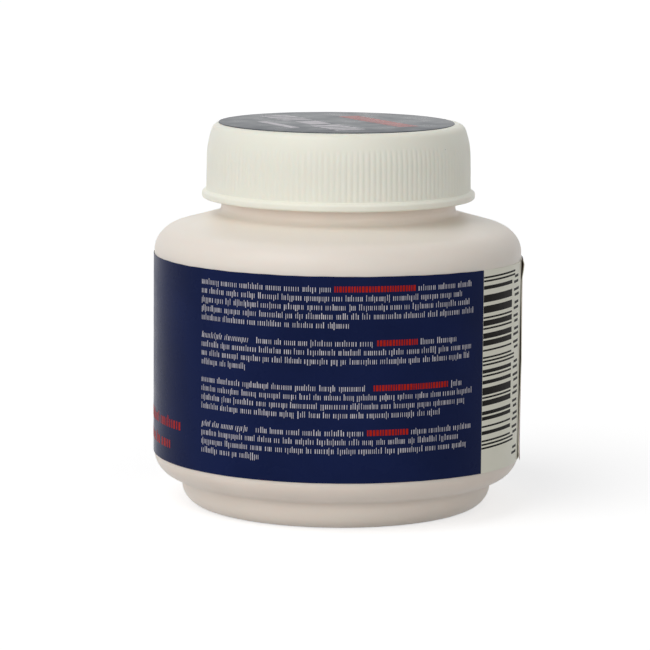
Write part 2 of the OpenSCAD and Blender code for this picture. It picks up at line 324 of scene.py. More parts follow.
def piece(obj, body, slot, *nodes):
    """Sets what the piece rides on and the CAD nodes that it stands for. Its material slot is not used."""
    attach(obj, body)
    if nodes:
        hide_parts(*nodes)
    return obj


def lathe(outline, angles, relief=None):
    """Rings of an outline turned round the axis. relief gives (dr, dz) for (r, z, angles)."""
    rings = []
    for r, z in outline:
        if r < 1e-6:
            rings.append(np.array([(0, 0, z)]))
            continue
        dr, dz = relief(r, z, angles) if relief else (0, 0)
        rings.append(ring(r + dr, z + dz, angles))
    return rings


def thread(z, angles, start_z, turns, height, foot, crest, first=0.0):
    """How far a right-hand thread stands out of the wall at the height z. It runs from first to turns, and
    foot and crest are its widths."""
    stands = np.zeros_like(angles, float)
    for k in range(-1, int(turns) + 2):
        run = angles / 360 + k
        off = np.abs(z - start_z - THREAD_PITCH * run)
        flank = np.clip((foot - 2 * off) / (foot - crest), 0, 1)
        ends = smoothstep((run - first) / THREAD_END) * smoothstep((turns - run) / THREAD_END)
        stands = np.maximum(stands, height * smoothstep(flank) * ends)
    return stands


# Materials

def add_node(tree, kind, inputs=None, **settings):
    """A shader node with its settings, and with values or links on its inputs."""
    made = tree.nodes.new("ShaderNode" + kind)
    for key, value in settings.items():
        setattr(made, key, value)
    for key, value in (inputs or {}).items():
        if isinstance(value, bpy.types.NodeSocket):
            tree.links.new(value, made.inputs[key])
        else:
            made.inputs[key].default_value = value
    return made


def compute(tree, operation, a, b):
    """One step of arithmetic on values or links."""
    return add_node(tree, "Math", {0: a, 1: b}, operation=operation).outputs[0]


def noise(tree, scale, detail):
    """A noise field over the object, from 0 to 1. scale is in waves per metre."""
    place = add_node(tree, "TexCoord").outputs["Object"]
    return add_node(tree, "TexNoise", {"Vector": place, "Scale": scale, "Detail": detail}).outputs["Fac"]


def tones(tree, factor, stops):
    """A colour that runs through stops (position, colour) as factor rises."""
    ramp = add_node(tree, "ValToRGB", {"Fac": factor})
    for i, (position, colour) in enumerate(stops):
        stop = ramp.color_ramp.elements[i] if i < 2 else ramp.color_ramp.elements.new(position)
        stop.position = position
        stop.color = (*colour, 1)
    return ramp.outputs["Color"]


def spread(tree, factor, low, high):
    """factor's middle stretch, spread out from low to high."""
    return add_node(tree, "MapRange", {"Value": factor, "From Min": 0.3, "From Max": 0.7,
                                       "To Min": low, "To Max": high}).outputs["Result"]


def shade(colour, by):
    return tuple(min(1, c * by) for c in colour)


def speckled(tree, tint, size, speck):
    """The tint with a few round specks of dust, each in a cell of its own."""
    place = add_node(tree, "TexCoord").outputs["Object"]
    cells = add_node(tree, "TexVoronoi", {"Vector": place, "Scale": 90.0})
    near = compute(tree, "LESS_THAN", cells.outputs["Distance"], size * 0.09)
    rare = compute(tree, "GREATER_THAN", cells.outputs["Color"], 0.62)
    both = compute(tree, "MULTIPLY", near, rare)
    return add_node(tree, "Mix", {0: both, 6: tint, 7: (*speck, 1)}, data_type="RGBA").outputs[2]


def finish(name, colour, roughness, drift=0.03, drift_scale=60, grain_scale=1500, grain=0.012,
           wave_scale=0, wave=0.0, specular=0.5, metallic=0.0, subsurface=0.0, depth=2.0, specks=0.0):
    """A procedural finish: colour that drifts by a share of itself, uneven gloss, and a surface with fine
    grain and longer waves whose heights are millimetres. depth is how far light spreads below the surface,
    in millimetres, and specks the size of a few dust specks."""
    material = bpy.data.materials.new(name)
    material.use_nodes = True
    tree = material.node_tree
    shader = tree.nodes["Principled BSDF"]
    shader.inputs["Metallic"].default_value = metallic
    shader.inputs["Specular IOR Level"].default_value = specular
    if subsurface:
        shader.inputs["Subsurface Weight"].default_value = subsurface
        shader.inputs["Subsurface Radius"].default_value = (1.0, 0.8, 0.7)
        shader.inputs["Subsurface Scale"].default_value = depth * MM
    tint = tones(tree, noise(tree, drift_scale, 4),
                 [(0.35, shade(colour, 1 - drift)), (0.65, shade(colour, 1 + drift))])
    if specks:
        tint = speckled(tree, tint, specks, shade(colour, 0.45))
    tree.links.new(tint, shader.inputs["Base Color"])
    gloss = spread(tree, noise(tree, drift_scale * 3, 5), roughness - 0.05, roughness + 0.06)
    tree.links.new(gloss, shader.inputs["Roughness"])
    bump = add_node(tree, "Bump", {"Height": noise(tree, grain_scale, 2), "Distance": grain * MM,
                                   "Strength": 1.0})
    if wave:
        bump = add_node(tree, "Bump", {"Height": noise(tree, wave_scale, 1), "Distance": wave * MM,
                                       "Strength": 1.0, "Normal": bump.outputs["Normal"]})
    tree.links.new(bump.outputs["Normal"], shader.inputs["Normal"])
    return material


def paint_light_by_height(material, zones):
    """Scales a finish's colour by height, to paint light and shade into it. zones are (millimetres up, share
    of the colour).
    """
    tree = material.node_tree
    colour_in = tree.nodes["Principled BSDF"].inputs["Base Color"]
    tint = colour_in.links[0].from_socket
    place = add_node(tree, "TexCoord").outputs["Object"]
    height = add_node(tree, "SeparateXYZ", {"Vector": place}).outputs["Z"]
    low, high = zones[0][0], zones[-1][0]
    share = add_node(tree, "MapRange", {"Value": height, "From Min": low * MM, "From Max": high * MM})
    scale = tones(tree, share.outputs["Result"], [((z - low) / (high - low), part) for z, part in zones])
    scaled = add_node(tree, "Mix", {0: 1.0, 6: tint, 7: scale}, data_type="RGBA", blend_type="MULTIPLY")
    tree.links.new(scaled.outputs[2], colour_in)


jar_plastic = finish("jar_plastic", (0.98, 0.895, 0.805), 0.42, drift=0.012, wave_scale=45, wave=0.10,
                     subsurface=0.4, depth=0.8, specks=0.10)
# Painted light and shade by height: the foot, the shoulder and the neck are painted lighter, as if more
# light fell on them, and the heel and the neck are painted pinker, as shaded parts of the jar look.
paint_light_by_height(jar_plastic, [(1, (0.965, 0.945, 0.94)), (8, (0.945, 0.908, 0.892)), (11, (0.908, 0.907, 0.905)),
                        (48.3, (0.906, 0.907, 0.909)), (51.0, (0.99, 1, 1)), (53.0, (1, 0.95, 0.95))])
cap_plastic = finish("cap_plastic", (0.955, 0.933, 0.812), 0.40, drift=0.01, wave_scale=60, wave=0.03,
                     subsurface=0.4, depth=0.4, specks=0.08)
film_navy = finish("film_navy", (0.0085, 0.0152, 0.064), 0.27, drift=0.12, drift_scale=70, grain=0.004,
                   wave_scale=40, wave=0.05, specular=0.028)
film_white = finish("film_white", (0.88, 0.86, 0.73), 0.38, drift=0.02, grain=0.004,
                    wave_scale=40, wave=0.05, specular=0.2)
film_brown = finish("film_brown", (0.23, 0.085, 0.055), 0.45, drift=0.15, drift_scale=200, specular=0.3)
film_back = finish("film_back", (0.42, 0.33, 0.25), 0.6, drift=0.12, drift_scale=300, grain=0.01)
top_navy = finish("top_navy", (0.0055, 0.0150, 0.028), 0.30, drift=0.10, drift_scale=80, grain=0.002,
                  wave_scale=50, wave=0.006, specular=0.205)
ink_pale = finish("ink_pale", (0.60, 0.575, 0.61), 0.5, drift=0.10, drift_scale=900, grain=0.003,
                  specular=0.2)
ink_red = finish("ink_red", (0.44, 0.018, 0.009), 0.45, drift=0.12, drift_scale=900, grain=0.003,
                 specular=0.05)
top_red = finish("top_red", (0.40, 0.020, 0.012), 0.30, drift=0.12, drift_scale=900, grain=0.002,
                 specular=0.26)
ink_black = finish("ink_black", (0.010, 0.009, 0.008), 0.5, drift=0.2, drift_scale=900, grain=0.003,
                   specular=0.05)
insert_plastic = finish("insert_plastic", (0.80, 0.835, 0.85), 0.34, drift=0.02, wave_scale=120, wave=0.02,
                        subsurface=0.5)
nylon = finish("nylon", (0.86, 0.86, 0.83), 0.36, drift=0.05, drift_scale=700, grain_scale=6000, grain=0.004,
               subsurface=0.2)
brush_back = finish("brush_back", (0.82, 0.83, 0.81), 0.42, drift=0.02, drift_scale=200, subsurface=0.2)
foil_metal = finish("foil_metal", (0.80, 0.81, 0.82), 0.33, drift=0.04, drift_scale=300, grain_scale=2500,
                    grain=0.01, wave_scale=320, wave=0.05, metallic=1.0)
foam = finish("foam", (0.86, 0.86, 0.87), 0.75, drift=0.03, drift_scale=500, grain_scale=3500, grain=0.05,
              subsurface=0.3)


# Jar

def jar_side(inset):
    """The jar's side from the foot to the root of the neck."""
    reach = FOOT_R + WAIST_ROUND - (JAR_R - HEEL_ROUND)
    waist_z = HEEL_Z - math.sqrt((HEEL_ROUND + WAIST_ROUND) ** 2 - reach ** 2)
    turn = math.degrees(math.atan2(waist_z - HEEL_Z, reach))
    slope = math.radians(SHOULDER_SLOPE)
    both = SHOULDER_ROUND + NECK_FILLET
    run = (JAR_R - SHOULDER_ROUND + both * math.sin(slope) - NECK_R - NECK_FILLET) / math.cos(slope)
    shoulder_z = NECK_ROOT_Z - both * math.cos(slope) - run * math.sin(slope)
    shoulder = arc((JAR_R - SHOULDER_ROUND, shoulder_z), SHOULDER_ROUND - inset, 0, 90 - SHOULDER_SLOPE)
    fillet = arc((NECK_R + NECK_FILLET, NECK_ROOT_Z), NECK_FILLET + inset, 270 - SHOULDER_SLOPE, 180)
    return (arc((FOOT_R - FOOT_ROUND, FOOT_ROUND), FOOT_ROUND - inset, -90, 0)
            + arc((FOOT_R + WAIST_ROUND, waist_z), WAIST_ROUND + inset, 180, 180 + turn)[1:]
            + arc((JAR_R - HEEL_ROUND, HEEL_Z), HEEL_ROUND - inset, turn, 0)[1:]
            + shoulder + line(shoulder[-1], fillet[0], 6) + fillet)


def jar_outline():
    """From the outside of the base round the rim to the inside of the base."""
    ring_r = FOOT_R - FOOT_ROUND
    inner_r = ring_r - STAND_W
    push_r = inner_r - PUSH_RUN
    lip_z = JAR_H - 1
    base = soften([(BASE_FLAT_R, BASE_PUSH, 0), (push_r, BASE_PUSH, PUSH_ROUND), (inner_r, 0, STAND_ROUND),
                   (ring_r, 0, 0)])
    floor = soften([(inner_r, WALL, 0), (push_r, BASE_PUSH + WALL, PUSH_ROUND),
                    (BASE_FLAT_R, BASE_PUSH + WALL, 0)])
    rim = soften([(NECK_R, lip_z, 0), (NECK_R, JAR_H, RIM_ROUND), (NECK_R - WALL, JAR_H, RIM_ROUND),
                  (NECK_R - WALL, lip_z, 0)])
    inside = jar_side(WALL)
    return ([(0, BASE_PUSH)] + line((0, BASE_PUSH), (BASE_FLAT_R, BASE_PUSH), 9) + base[:-1] + jar_side(0)
            + line((NECK_R, NECK_ROOT_Z), (NECK_R, lip_z), 44) + rim
            + inside[::-1] + floor + [(0, BASE_PUSH + WALL)])


def jar_relief(r, z, angles):
    """Neck thread, the mould's parting line down both sides, and the pinch line across the base. The bore
    of the neck and the jar's floor stay plain."""
    dr, dz = np.zeros_like(angles, float), np.zeros_like(angles, float)
    if z >= BASE_PUSH + 0.5 and r <= NECK_R - 0.5:
        return dr, dz
    if z < BASE_PUSH + 0.01 and r < BASE_FLAT_R + 2:
        across = r * np.cos(np.radians(angles))
        dz = dz - PINCH_DEPTH * np.exp(-(across / PINCH_W) ** 2) * smoothstep((PINCH_R - r) / 1.5)
    elif z > 0.3:
        off_seam = np.abs(np.mod(angles, 180) - 90)
        dr = dr + PARTING_H * np.exp(-(off_seam / PARTING_W) ** 2)
    if z > NECK_ROOT_Z + 0.5:
        dr = dr + thread(z, angles, NECK_THREAD_Z, **NECK_THREAD)
    return dr, dz


def make_jar():
    close = [seam + off for seam in (90, 270) for off in (-0.9, -0.6, -0.3, 0.3, 0.6, 0.9)]
    angles = np.array(sorted(set(np.arange(0, 360, 1.25)) | set(close)))
    points, faces = skin(lathe(jar_outline(), angles, jar_relief))
    jar = add_mesh("jar_shell", points, faces, [jar_plastic])
    return piece(jar, "jar", "jar_plastic", "jar_body")


# Labels

def film_radius(along):
    """Radius of the wrap film's outside, along millimetres from its free end: it steps down off its lap."""
    return LABEL_R + (FILM + LAP_GAP) * (1 - smoothstep((along - SEAM_LAP) / LAP_EASE))


def film_lift(along, z):
    """How far the free end stands off the jar, most near its upper corner and half-way down."""
    corner = LIFT_CORNER * np.exp(-((LABEL_Z1 - 1.6 - z) / 1.1) ** 2)
    middle = LIFT_MIDDLE * np.exp(-((z - 26.5) / 7.5) ** 2)
    foot = LIFT_FOOT * np.exp(-(z - LABEL_Z0))
    return np.exp(-along / LIFT_RUN) * (LIFT_ALL + corner + middle + foot)


def make_wrap():
    """The printed film: it starts at its free end, goes once round, and runs on under its own start. The
    edges sag near the seam, and the free end leans. Its border is brown and its last stretch white."""
    panel = (360 - SEAM + PANEL_START) * DEGREE
    length = 360 * DEGREE + SEAM_LAP - 0.4
    stops = [0, 0.25, 0.5, 0.9, 1.4, 2, BORDER, 3.8, panel] + list(np.arange(4.6, length, 0.7)) + [length]
    along = np.array(sorted(set(stops)))
    levels = np.array([0, 0.02, 0.05, 0.1, 0.17, 0.3, 0.5, 0.7, 0.83, 0.9, 0.95, 0.98, 1])
    edge = EDGE_WAVE * np.sin(along * 0.9) * np.sin(along * 0.37 + 1)
    off_seam = np.abs(np.mod(along / DEGREE + 180, 360) - 180)
    sag = np.exp(-(off_seam / SAG_REACH) ** 2)
    low = LABEL_Z0 - LABEL_DROP + 0.3 * edge - SAG_LOW * sag
    high = LABEL_Z1 - LABEL_TRIM + edge - SAG_HIGH * sag
    z = low[None, :] + levels[:, None] * (high - low)[None, :]
    s = np.broadcast_to(along, z.shape)
    outer = film_radius(s) + film_lift(s, z)
    slant = SLANT_TOP + SLANT_MORE * (1 - levels[:, None])
    turn = np.radians(SEAM - slant * np.exp(-s / SLANT_RUN)) + s / LABEL_R

    def surface(r):
        return np.stack([r * np.sin(turn), -r * np.cos(turn), z], -1).reshape(-1, 3)

    rows, columns = z.shape
    points = np.concatenate([surface(outer), surface(outer - FILM)])
    faces, chosen = [], []
    inner = rows * columns
    navy, white, brown, back = range(4)
    for j in range(columns - 1):
        kind = white if along[j] >= panel - 1e-6 else brown if along[j + 1] <= BORDER + 1e-6 else navy
        for i in range(rows - 1):
            a = i * columns + j
            faces += [(a, a + 1, a + columns + 1, a + columns)]
            faces += [(inner + a, inner + a + columns, inner + a + columns + 1, inner + a + 1)]
            chosen += [kind, back]
        for a in (j, (rows - 1) * columns + j):
            faces.append((a, a + 1, inner + a + 1, inner + a))
            chosen.append(kind)
    for i in range(rows - 1):
        for j in (0, columns - 1):
            a = i * columns + j
            faces.append((a, a + columns, inner + a + columns, inner + a))
            chosen.append(white)
    wrap = add_mesh("wrap_label", points, faces, [film_navy, film_white, film_brown, film_back], chosen)
    return piece(wrap, "jar", "wrap_film", "body_label")


def on_wrap(u, v, w):
    """A point of the wrap label: u along it from the front, v its height, w above the film."""
    turn = u / LABEL_R
    r = film_radius(np.mod(u - math.radians(SEAM) * LABEL_R, math.tau * LABEL_R)) + w
    return r * np.sin(turn), -r * np.cos(turn), v


def on_top(u, v, w):
    """A point of the round label: u along its lines of print, v across them, w above the film."""
    turn = math.radians(TOP_PRINT_TURN)
    x, y = u * math.cos(turn) - v * math.sin(turn), u * math.sin(turn) + v * math.cos(turn)
    return x + TOP_LABEL_OFF, y, top("cap_label") + w


def strokes(rng, u, end, v, size, bold=1.0, lean=0.0):
    """Words of plain upright strokes that stand for a line of print. size is a short stroke's height."""
    marks = []
    while u < end - 1.5 * size:
        word_end = min(u + size * rng.uniform(*WORD_LENGTHS), end)
        while u < word_end:
            wide = size * rng.choice(STROKE_WIDTHS) * bold
            low = DEEP if rng.random() < DEEP_SHARE else 0
            high = TALL if rng.random() < TALL_SHARE else 1
            marks.append((u, u + wide, v + low * size, v + high * size, lean))
            u += wide + rng.choice(STROKE_GAPS) * size
        u += WORD_GAP * size
    return marks


def ending_at(marks, end):
    """The marks, shifted along their line so that the last one stops at end."""
    shift = end - max(mark[1] for mark in marks)
    return [(start + shift, stop + shift, *rest) for start, stop, *rest in marks]


def blocks_row(rng, u, end, v, size):
    """A row of heavy plain strokes of one height, for a word in bold capitals; it fills u to end."""
    marks = []
    while u < end - 0.3 * size:
        wide = min(size * rng.choice(HEAVY_WIDTHS), end - u)
        marks.append((u, u + wide, v, v + size, 0))
        u += wide + HEAVY_GAP * size
    return marks


def add_marks(name, marks, place, material, body, slot):
    """Thin raised patches of ink, one for each mark (from, to, low, high, lean)."""
    points, faces = [], []
    for start, end, low, high, lean in marks:
        n = max(1, math.ceil((end - start) / INK_STEP))
        first = len(points)
        for u in np.linspace(start, end, n + 1):
            for v, w in ((low, -INK_SUNK), (high, -INK_SUNK), (high, INK_H), (low, INK_H)):
                points.append(place(u + lean * (v - low), v, w))
        for i in range(n):
            a = first + 4 * i
            faces += [(a + k, a + (k + 1) % 4, a + 4 + (k + 1) % 4, a + 4 + k) for k in range(4)]
        last = first + 4 * n
        faces += [(first, first + 1, first + 2, first + 3), (last, last + 3, last + 2, last + 1)]
    return piece(add_mesh(name, points, faces, [material], sharp=25), body, slot)


def small_print(rng):
    """Four paragraphs of stand-in print on the side of the wrap label, with some bold red words."""
    left, right = PRINT_LEFT * DEGREE, PRINT_RIGHT * DEGREE
    pale, red = [], []
    row = 0
    for lines, last_share, red_from, red_to, leans in PARAGRAPHS:
        for k in range(lines):
            v = PRINT_Z - PRINT_PITCH * row
            end = left + (right - left) * (last_share if k == lines - 1 else rng.uniform(0.93, 1))
            start = left
            if k == 0 and leans:
                pale += strokes(rng, left, left + LEANING_RUN, v, PRINT_SIZE, lean=0.2)
                start = left + LEANING_ROOM
            if k == 0:
                a, b = (left + (right - left) * share for share in (red_from, red_to))
                pale += strokes(rng, start, a - RED_GAP, v, PRINT_SIZE)
                red += blocks_row(rng, a, b, v, RED_SIZE)
                start = b + RED_GAP
            pale += strokes(rng, start, end, v, PRINT_SIZE)
            row += 1
        row += 1
    return pale, red


def bar_marks(rng):
    """Bars of random widths, one above the other on the white panel, and pairs of small blocks beside them.
    Longer guard bars stand at both ends and in the middle."""
    left, right, guard = BARS_LEFT * DEGREE, BARS_RIGHT * DEGREE, GUARDS_RIGHT * DEGREE
    module, low, high = BAR_MODULE, BARS_Z0, BARS_Z1
    middle = (low + high) / 2
    marks = [(left, guard, v, v + module, 0)
             for start in (low, middle - 1.5 * module, high - 3 * module)
             for v in (start, start + 2 * module)]
    for v, stop in ((low + 4 * module, middle - 2.5 * module), (middle + 2.5 * module, high - 4 * module)):
        while v < stop - 0.5 * module:
            bar = module * rng.choice((1, 1, 2, 2, 3, 4))
            marks.append((left, right, v, min(v + bar, stop), 0))
            v += bar + module * rng.choice((1, 1, 1, 2, 2, 3))
    half = BLOCKS // 2
    for k in range(BLOCKS):
        v = low - 2.6 if k == 0 else (low if k <= half else middle) + 1.1 + BLOCK_PITCH * ((k - 1) % half)
        for part in range(2):
            start = (BLOCKS_LEFT + 0.9 * ((k + part) % 2)) * DEGREE
            end = (BLOCKS_RIGHT + 0.5 * (k % 3)) * DEGREE
            marks.append((start, end, v + BLOCK_PART * part, v + BLOCK_PART * part + BLOCK_H, 0))
    return marks


def front_print(rng):
    """Stand-in print on the product's front, which faces away from the photograph's camera."""
    middle = math.radians(FRONT_MIDDLE) * LABEL_R
    left = middle + FRONT_LEFT
    pale = strokes(rng, left, middle + 22, 33, 4.2, bold=1.5)
    pale += [(left, middle + 23.5, 29.6, 29.95, 0)]
    for k, share in enumerate((1, 0.93, 0.7)):
        pale += strokes(rng, left, left + 47 * share, 25.6 - 2.6 * k, 1.3)
    red = []
    for start, longest, v, end in FRONT_RED:
        marks = strokes(rng, middle + start, middle + longest, v, FRONT_RED_SIZE, bold=1.9)
        red += ending_at(marks, math.radians(end) * LABEL_R)
    red += [(left, middle - 8, 13, 15.4, 0)]
    return pale, red


def make_prints():
    rng = random.Random(5)
    pale, red = small_print(rng)
    front_pale, front_red = front_print(rng)
    add_marks("label_print_pale", pale + front_pale, on_wrap, ink_pale, "jar", "wrap_film")
    add_marks("label_print_red", red + front_red, on_wrap, ink_red, "jar", "wrap_film")
    add_marks("label_bars", bar_marks(rng), on_wrap, ink_black, "jar", "wrap_film")
    words = [mark for word in TOP_WORDS for mark in blocks_row(rng, *word)]
    add_marks("top_print_pale", words + TOP_PATCHES, on_top, ink_pale, "cap", "top_film")
    add_marks("top_print_red", blocks_row(rng, *TOP_RED_WORD), on_top, top_red, "cap", "top_film")


# Cap

def cap_profile():
    """Where the long curve of the cap starts and ends: its centre and the radius of the flat top."""
    crown_z = CAP_Z1 - CAP_EDGE_ROUND - (CROWN_ROUND - CAP_EDGE_ROUND) * math.sin(math.radians(CROWN_ANGLE))
    draft = math.radians(CAP_DRAFT)
    start_r = SKIRT_R - (crown_z + CROWN_ROUND * math.sin(draft) - BEAD_Z1) * math.tan(draft)
    crown_x = start_r - CROWN_ROUND * math.cos(draft)
    flat_r = crown_x + (CROWN_ROUND - CAP_EDGE_ROUND) * math.cos(math.radians(CROWN_ANGLE))
    return crown_x, crown_z, flat_r


def cap_radius(z):
    """Outside radius of the skirt and the long curve at the height z, without the grooves."""
    crown_x, crown_z, _ = cap_profile()
    if z < crown_z + CROWN_ROUND * math.sin(math.radians(CAP_DRAFT)):
        return SKIRT_R - (z - BEAD_Z1) * math.tan(math.radians(CAP_DRAFT))
    return crown_x + math.sqrt(CROWN_ROUND ** 2 - (z - crown_z) ** 2)


def make_cap():
    """The cap from its ceiling down the bore, round the mouth and up its ribbed side to its top."""
    per_rib = 10
    fine = np.arange(RIBS * per_rib) * 360 / (RIBS * per_rib)
    coarse = fine[::5]
    crown_x, crown_z, flat_r = cap_profile()
    phase = np.mod(fine * RIBS / 360, 1)
    groove = smoothstep((GROOVE_SHARE / 2 - np.abs(phase - 0.5)) / GROOVE_FLANK + GROOVE_FILL)

    inside = soften([(0, CAP_CEILING, 0), (CAP_BORE_R, CAP_CEILING, 0.6), (CAP_BORE_R, CAP_CEILING - 1, 0)])
    inside += line((CAP_BORE_R, CAP_CEILING - 1), (CAP_BORE_R, CAP_Z0 + 0.6), 48)
    mouth = soften([(CAP_BORE_R, CAP_Z0 + 0.6, 0), (CAP_BORE_R, CAP_Z0, 0.3), (BEAD_R, CAP_Z0, 0.35),
                    (BEAD_R, BEAD_Z1 - 0.35, 0.45), (SKIRT_R + 0.03, BEAD_Z1 + 0.1, 0)], 6)

    def bore_relief(r, z, angles):
        if r <= CAP_BORE_R - 0.01:
            return 0, 0
        return -thread(z, angles, NECK_THREAD_Z - THREAD_PITCH / 2, **CAP_THREAD), 0

    rings = lathe(inside, coarse, bore_relief) + lathe(mouth, coarse)
    heights = np.concatenate([[BEAD_Z1 + 0.12, BEAD_Z1 + 0.2],
                              np.linspace(BEAD_Z1 + 0.6, RIB_STOP_Z - RIB_FADE, 12),
                              np.linspace(RIB_STOP_Z - RIB_FADE + 0.2, RIB_STOP_Z, 9)])
    for z in heights:
        depth = RIB_DEPTH * smoothstep((RIB_STOP_Z - z) / RIB_FADE)
        rings.append(ring(cap_radius(z) - groove * depth, z, fine))
    last = math.degrees(math.asin((RIB_STOP_Z - crown_z) / CROWN_ROUND))
    crown = arc((crown_x, crown_z), CROWN_ROUND, last, CROWN_ANGLE, 6)[1:]
    edge = arc((flat_r, CAP_Z1 - CAP_EDGE_ROUND), CAP_EDGE_ROUND, CROWN_ANGLE, 90, 12)[1:]
    rings += lathe(crown + edge + [(flat_r * 0.6, CAP_Z1), (0, CAP_Z1)], coarse)
    points, faces = skin(rings)
    return piece(add_mesh("screw_cap", points, faces, [cap_plastic]), "cap", "cap_plastic", "cap_shell")


def make_top_label():
    z0, z1 = bottom("cap_label"), top("cap_label")
    r = cap_profile()[2] - TOP_LABEL_MARGIN
    outline = soften([(0, z0, 0), (r, z0, 0.02), (r, z1, 0.05), (r * 0.5, z1, 0), (0, z1, 0)], 3)
    points, faces = skin(lathe(outline, np.arange(0, 360, 1.5)))
    points = points + np.array([TOP_LABEL_OFF, 0, 0])
    return piece(add_mesh("top_label", points, faces, [top_navy]), "cap", "top_film", "cap_label")


# Seal and wad

def make_foil():
    """The seal's foil: flat where it is bonded to the rim, a little slack and creased inside it."""
    z0, z1 = bottom("seal_foil"), top("seal_foil")
    radii = [0] + list(np.linspace(1.2, 18.6, 24)) + [19.2, 19.7, 20.1, 20.2]

    def slack(r, z, angles):
        a = np.radians(angles)
        x, y = r * np.sin(a), -r * np.cos(a)
        inner = smoothstep((18.4 - r) / 4)
        crease = np.abs(np.sin(0.55 * x + 0.9 * np.sin(0.3 * y))) + np.abs(np.sin(0.5 * y - 0.25 * x + 1))
        return 0, -inner * (FOIL_SLACK + FOIL_CREASE * crease)

    outline = [(r, z0 + 0.01) for r in radii] + [(r, z1 - 0.01) for r in radii[::-1]]
    points, faces = skin(lathe(outline, np.arange(0, 360, 2.5), slack))
    return piece(add_mesh("foil_seal", points, faces, [foil_metal]), "seal", "foil", "seal_foil")


def make_wad():
    """The foamed wad, with the ring that the jar's rim has pressed into it."""
    z0, z1 = bottom("liner_wad"), top("liner_wad")
    dent_z = z0 + WAD_DENT
    outline = soften([(0, z0, 0), (18.9, z0, 0.3), (19.15, dent_z, 0.3), (20.5, dent_z, 0.3),
                      (20.75, z0, 0.3), (WAD_R, z0, 0.12), (WAD_R, z1, 0.12), (0, z1, 0)])
    points, faces = skin(lathe(outline, np.arange(0, 360, 2.5)))
    return piece(add_mesh("foam_wad", points, faces, [foam]), "liner", "liner_foam", "liner_wad")


# Brushes

def filaments(roots, tips, bows, sides=5, steps=4):
    """Points and faces of thin tapering bristles, each bowed a little, closed at both ends."""
    count = len(roots)
    t = np.linspace(0, 1, steps + 1)[None, :, None]
    centre = roots[:, None] + (tips - roots)[:, None] * t + bows[:, None] * np.sin(math.pi * t * 0.5) ** 2
    along = tips - roots
    along /= np.linalg.norm(along, axis=1, keepdims=True)
    helper = np.where(np.abs(along[:, 2:]) > 0.9, np.array([[1.0, 0, 0]]), np.array([[0, 0, 1.0]]))
    side = np.cross(along, helper)
    side /= np.linalg.norm(side, axis=1, keepdims=True)
    other = np.cross(along, side)
    a = (np.arange(sides) * math.tau / sides)[None, None, :, None]
    spin = side[:, None, None] * np.cos(a) + other[:, None, None] * np.sin(a)
    taper = BRISTLE_R * (1 - 0.45 * t ** 4)
    points = (centre[:, :, None] + spin * taper[..., None]).reshape(-1, 3)
    one = [(i * sides + k, i * sides + (k + 1) % sides, (i + 1) * sides + (k + 1) % sides,
            (i + 1) * sides + k) for i in range(steps) for k in range(sides)]
    ends = [tuple(range(sides))[::-1], tuple(steps * sides + k for k in range(sides))]
    per = (steps + 1) * sides
    faces = [tuple(n * per + k for k in f) for n in range(count) for f in one + ends]
    return points, faces


def tuft(rng, root, tip, splay):
    """Roots, tips and bows of the bristles of one tuft."""
    roots, tips, bows = [], [], []
    along = (tip - root) / np.linalg.norm(tip - root)
    helper = np.array([1.0, 0, 0]) if abs(along[2]) > 0.9 else np.array([0, 0, 1.0])
    side = np.cross(along, helper)
    side /= np.linalg.norm(side)
    other = np.cross(along, side)
    for k in range(TUFT_BRISTLES):
        a = math.tau * (k / (TUFT_BRISTLES - 1) + rng.uniform(-0.04, 0.04))
        out = 0 if k == 0 else TUFT_R
        off = (side * math.cos(a) + other * math.sin(a)) * out
        roots.append(root + off)
        stray = np.array([rng.uniform(-1, 1) for _ in range(3)])
        tips.append(tip + off * splay + 0.12 * stray + along * rng.uniform(-0.25, 0.2))
        bows.append(0.16 * np.array([rng.uniform(-1, 1) for _ in range(3)]))
    return roots, tips, bows


def bristles(tufts):
    """Points and faces of all the bristles of some tufts."""
    return filaments(*(np.array(sum(some, [])) for some in zip(*tufts)))


def rounded_block(size, centre, rounding):
    """A box with rounded edges, in millimetres."""
    made = bmesh.new()
    bmesh.ops.create_cube(made, size=1)
    bmesh.ops.scale(made, vec=size, verts=made.verts)
    bmesh.ops.bevel(made, geom=list(made.edges), offset=rounding, segments=3, profile=0.5, affect="EDGES")
    bmesh.ops.translate(made, vec=centre, verts=made.verts)
    points = np.array([v.co for v in made.verts])
    faces = [tuple(v.index for v in f.verts) for f in made.faces]
    made.free()
    return points, faces


def joined(parts):
    """One list of points and faces from several, with the number of the part for each face."""
    points, faces, chosen, start = [], [], [], 0
    for number, (some_points, some_faces) in enumerate(parts):
        points.append(some_points)
        faces += [tuple(start + k for k in f) for f in some_faces]
        chosen += [number] * len(some_faces)
        start += len(some_points)
    return np.concatenate(points), faces, chosen


def make_strip(number):
    """One upright brush: a backing bar and rows of soft tufts that fan out towards the finger well."""
    rng = random.Random(number)
    half = 2
    tufts = []
    for row in range(BRISTLE_ROWS):
        z = BRISTLE_Z + row * BRISTLE_PITCH
        for k in range(-half, half + 1):
            wave = 0.35 * (1 if abs(k) % 2 == 0 else -1)
            root = np.array([BAR_R + 0.3, k / half * BRISTLE_ROOT_W / 2, z])
            tip = np.array([BRISTLE_TIP_R, k / half * BRISTLE_TIP_W / 2, z + wave])
            tufts.append(tuft(rng, root, tip, splay=1.5))
    height = BAR_Z1 - BAR_Z0
    bar = rounded_block((BAR_T, BAR_W, height), (BAR_R + BAR_T / 2, 0, BAR_Z0 + height / 2), 0.2)
    points, faces, chosen = joined([bar, bristles(tufts)])
    turn = np.array(Matrix.Rotation(math.radians(60 * number - 30), 3, "Z"))
    strip = add_mesh(f"soft_brush_{number}", points @ turn.T, faces, [brush_back, nylon], chosen)
    return piece(strip, "jar", "bristles", f"brush_strip_{number}")


